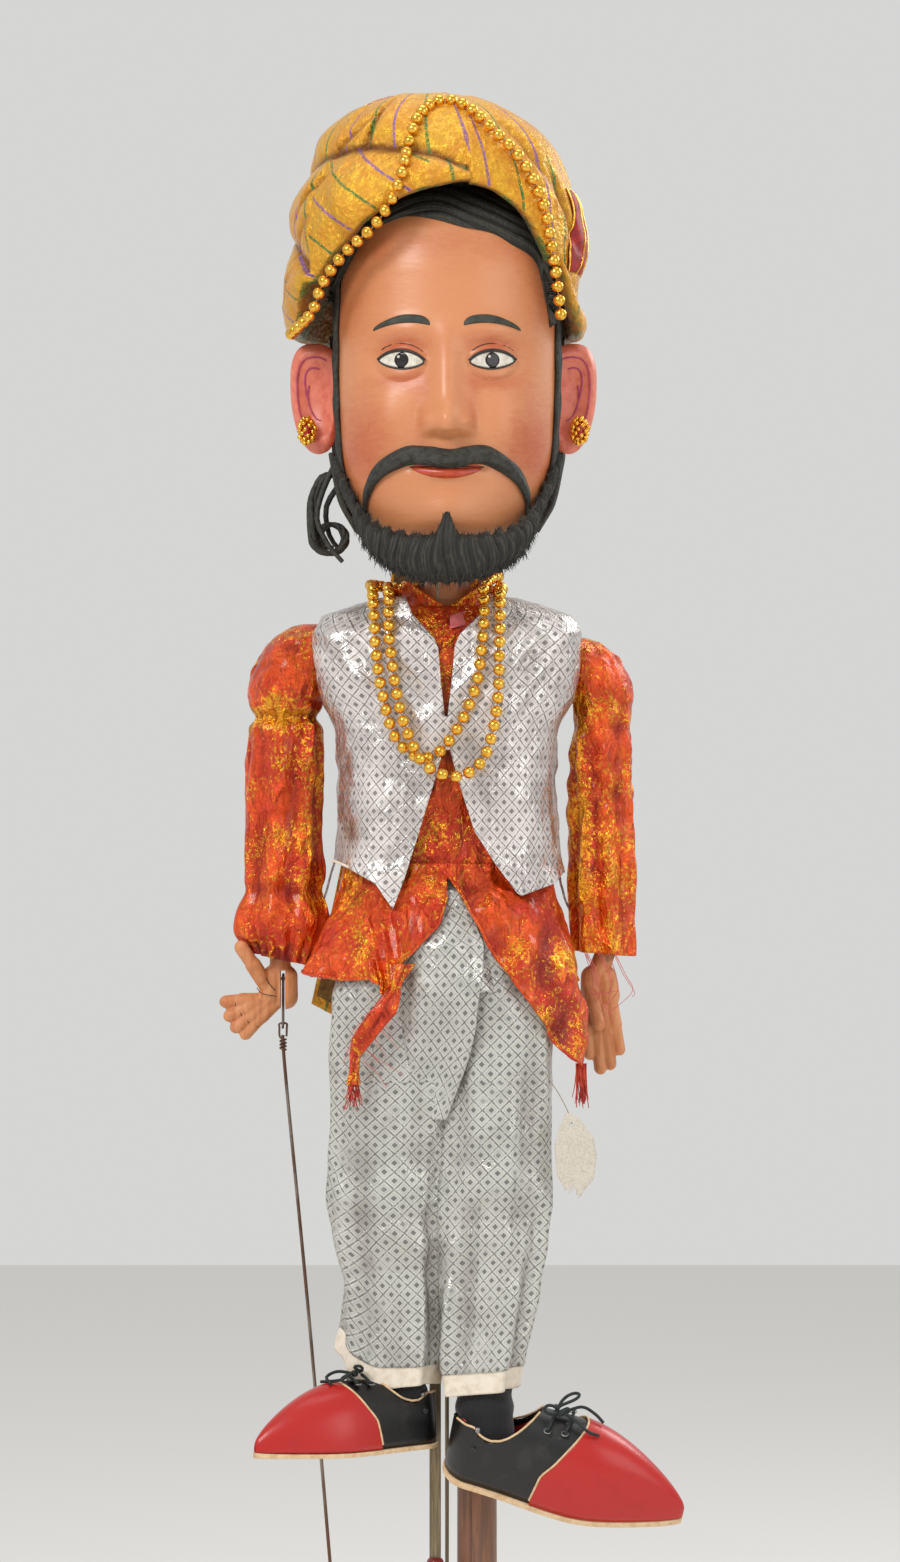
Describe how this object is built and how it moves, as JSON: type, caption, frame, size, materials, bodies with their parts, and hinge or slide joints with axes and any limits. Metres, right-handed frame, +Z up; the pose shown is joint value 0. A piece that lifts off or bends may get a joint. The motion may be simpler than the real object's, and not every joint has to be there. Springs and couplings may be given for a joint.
{
  "type": "rod puppet",
  "caption": "Large-headed rod puppet of a turbaned, bearded figure in a brocade waistcoat and shiny kurta, with rods that turn and nod the head and move one arm.",
  "frame": {"origin": "Centre of the main rod's flat foot, where the rod is held or stands in a socket", "axes": "+Z up along the main rod, the puppet faces -Y, and its own left is +X"},
  "size_m": [0.3198, 0.2136, 1.324],
  "materials": {
    "rod_wood": "reddish-brown round rod, handled smooth, with a long dark crack",
    "raw_wood": "unpainted sawn and turned wood",
    "pale_lath": "thin pale lath and rod, dusty",
    "grip_paint": "dark red gloss paint on turned wood",
    "pin_steel": "plain wire and pins, slightly dull",
    "knuckle_brass": "cast and filed brass",
    "skin_paint": "terracotta and tan paint, brushed, half gloss",
    "hair_paint": "carved wood painted black-grey and dry-brushed",
    "sock_black": "wooden shin under a black sock",
    "hand_paint": "carved wood, tan-orange paint",
    "turban_cloth": "mustard-gold cloth with embossed foil and thin green and purple metallic stripes",
    "red_cloth": "red cloth with gold piping",
    "kurta_cloth": "orange-red cloth with crinkled gold foil print",
    "vest_brocade": "silver-white brocade with a fine diamond lattice",
    "trouser_brocade": "silver-grey brocade with a fine diamond lattice",
    "gold_bead": "gold-plated hollow plastic beads, bright",
    "earring_brass": "gilt clusters with a red glass stone",
    "sole_leather": "pale raw leather",
    "shoe_leather": "glossy red toecap and black quarters",
    "cord": "twisted cotton cord",
    "paper": "torn white tag, blank"
  },
  "bodies": {
    "torso": {"main_rod": "rod_wood", "shoulder_board": "raw_wood", "shoulder_pin": "pin_steel", "neck_bush": "knuckle_brass", "chest_shell": "raw_wood", "pelvis_block": "raw_wood", "hip_pin": "pin_steel", "kurta_bodice": "kurta_cloth", "kurta_skirt": "kurta_cloth", "collar": "kurta_cloth", "vest": "vest_brocade", "necklace_long": "gold_bead", "necklace_short": "gold_bead", "trouser_seat": "trouser_brocade"},
    "neck": {"neck_post": "skin_paint", "turn_rod": "pale_lath", "nod_pin": "pin_steel", "turban_tail": "turban_cloth"},
    "head": {"head_shell": "skin_paint", "nod_yoke": "raw_wood", "ear_right": "skin_paint", "ear_left": "skin_paint", "earring_right": "earring_brass", "earring_left": "earring_brass", "hair": "hair_paint", "beard": "hair_paint", "turban": "turban_cloth", "turban_rosette": "red_cloth", "turban_beads": "gold_bead"},
    "lath": {"nod_lath": "pale_lath", "lath_grip": "grip_paint", "nod_cord": "cord"},
    "hand_rod": {"hand_rod": "pin_steel", "hand_rod_grip": "grip_paint"},
    "shoulder_link_right": {"shoulder_knuckle_right": "knuckle_brass"},
    "upper_arm_right": {"upper_arm_right": "raw_wood", "elbow_pin_right": "pin_steel", "sleeve_right": "kurta_cloth"},
    "forearm_right": {"forearm_right": "raw_wood"},
    "hand_right": {"hand_right": "hand_paint", "palm_link": "pin_steel"},
    "thigh_right": {"thigh_right": "raw_wood", "knee_pin_right": "pin_steel", "trouser_leg_right": "trouser_brocade"},
    "shin_right": {"shin_right": "sock_black"},
    "shoe_right": {"shoe_sole_right": "sole_leather", "shoe_upper_right": "shoe_leather"},
    "shoulder_link_left": {"shoulder_knuckle_left": "knuckle_brass"},
    "upper_arm_left": {"upper_arm_left": "raw_wood", "elbow_pin_left": "pin_steel", "sleeve_left": "kurta_cloth"},
    "forearm_left": {"forearm_left": "raw_wood"},
    "hand_left": {"hand_left": "hand_paint"},
    "thigh_left": {"thigh_left": "raw_wood", "knee_pin_left": "pin_steel", "trouser_leg_left": "trouser_brocade", "paper_tag": "paper"},
    "shin_left": {"shin_left": "sock_black"},
    "shoe_left": {"shoe_sole_left": "sole_leather", "shoe_upper_left": "shoe_leather"}
  },
  "joints": [
    {"name": "head_turn", "type": "hinge", "parent": "torso", "child": "neck", "pos_m": [-0.021, 0, 0.966], "axis": [0, 0, 1], "range_deg": [-40, 40], "deforming": ["turban_tail"]},
    {"name": "head_nod", "type": "hinge", "parent": "neck", "child": "head", "pos_m": [-0.021, 0, 1.005], "axis": [1, 0, 0], "range_deg": [-8, 10]},
    {"name": "lath_slide", "type": "slide", "parent": "torso", "child": "lath", "axis": [0, 0, 1], "range_m": [-0.0065, 0.0055], "deforming": ["nod_cord"]},
    {"name": "shoulder_swing_right", "type": "hinge", "parent": "torso", "child": "shoulder_link_right", "pos_m": [-0.117, 0.007, 0.938], "axis": [-1, 0, 0], "range_deg": [0, 45]},
    {"name": "shoulder_lift_right", "type": "hinge", "parent": "shoulder_link_right", "child": "upper_arm_right", "pos_m": [-0.117, 0.007, 0.938], "axis": [0, 1, 0], "range_deg": [0, 70]},
    {"name": "elbow_right", "type": "hinge", "parent": "upper_arm_right", "child": "forearm_right", "pos_m": [-0.132, 0.007, 0.832], "axis": [-1, 0, 0], "range_deg": [-1, 34], "deforming": ["sleeve_right"]},
    {"name": "wrist_right", "type": "hinge", "parent": "forearm_right", "child": "hand_right", "pos_m": [-0.138, 0.007, 0.726], "axis": [0, 1, 0], "range_deg": [-5, 25]},
    {"name": "shoulder_swing_left", "type": "hinge", "parent": "torso", "child": "shoulder_link_left", "pos_m": [0.075, 0.007, 0.938], "axis": [-1, 0, 0], "range_deg": [-20, 110]},
    {"name": "shoulder_lift_left", "type": "hinge", "parent": "shoulder_link_left", "child": "upper_arm_left", "pos_m": [0.075, 0.007, 0.938], "axis": [0, -1, 0], "range_deg": [0, 70]},
    {"name": "elbow_left", "type": "hinge", "parent": "upper_arm_left", "child": "forearm_left", "pos_m": [0.085, 0.007, 0.832], "axis": [-1, 0, 0], "range_deg": [0, 110], "deforming": ["sleeve_left"]},
    {"name": "wrist_left", "type": "hinge", "parent": "forearm_left", "child": "hand_left", "pos_m": [0.091, 0.007, 0.726], "axis": [0, -1, 0], "range_deg": [-25, 25]},
    {"name": "hand_rod_swing", "type": "hinge", "parent": "hand_right", "child": "hand_rod", "pos_m": [-0.136, 0.007, 0.6765], "axis": [1, 0, 0], "range_deg": [-2, 116]},
    {"name": "hip_right", "type": "hinge", "parent": "torso", "child": "thigh_right", "pos_m": [-0.063, -0.042, 0.735], "axis": [-1, 0, 0], "range_deg": [0, 60], "deforming": ["trouser_seat", "kurta_skirt"]},
    {"name": "knee_right", "type": "hinge", "parent": "thigh_right", "child": "shin_right", "pos_m": [-0.063, -0.042, 0.585], "axis": [1, 0, 0], "range_deg": [-40, 0], "deforming": ["trouser_leg_right"]},
    {"name": "ankle_right", "type": "hinge", "parent": "shin_right", "child": "shoe_right", "pos_m": [-0.04654, -0.03897, 0.41376], "axis": [0.5592, -0.829, 0], "range_deg": [-20, 12]},
    {"name": "hip_left", "type": "hinge", "parent": "torso", "child": "thigh_left", "pos_m": [0.014, -0.042, 0.735], "axis": [-1, 0, 0], "range_deg": [0, 60]},
    {"name": "knee_left", "type": "hinge", "parent": "thigh_left", "child": "shin_left", "pos_m": [0.014, -0.042, 0.585], "axis": [1, 0, 0], "range_deg": [-40, 0], "deforming": ["trouser_leg_left"]},
    {"name": "ankle_left", "type": "hinge", "parent": "shin_left", "child": "shoe_left", "pos_m": [0.00211, -0.0568, 0.40058], "axis": [0.2353, 0.8585, 0.4555], "range_deg": [-20, 4]}
  ],
  "couplings": [
    {"joint": "lath_slide", "follows": "head_nod", "m_per_rad": -0.0335},
    {"joint": "elbow_right", "follows": "shoulder_swing_right", "ratio": 0.7},
    {"joint": "hand_rod_swing", "follows": "shoulder_swing_right", "ratio": 2.5}
  ]
}
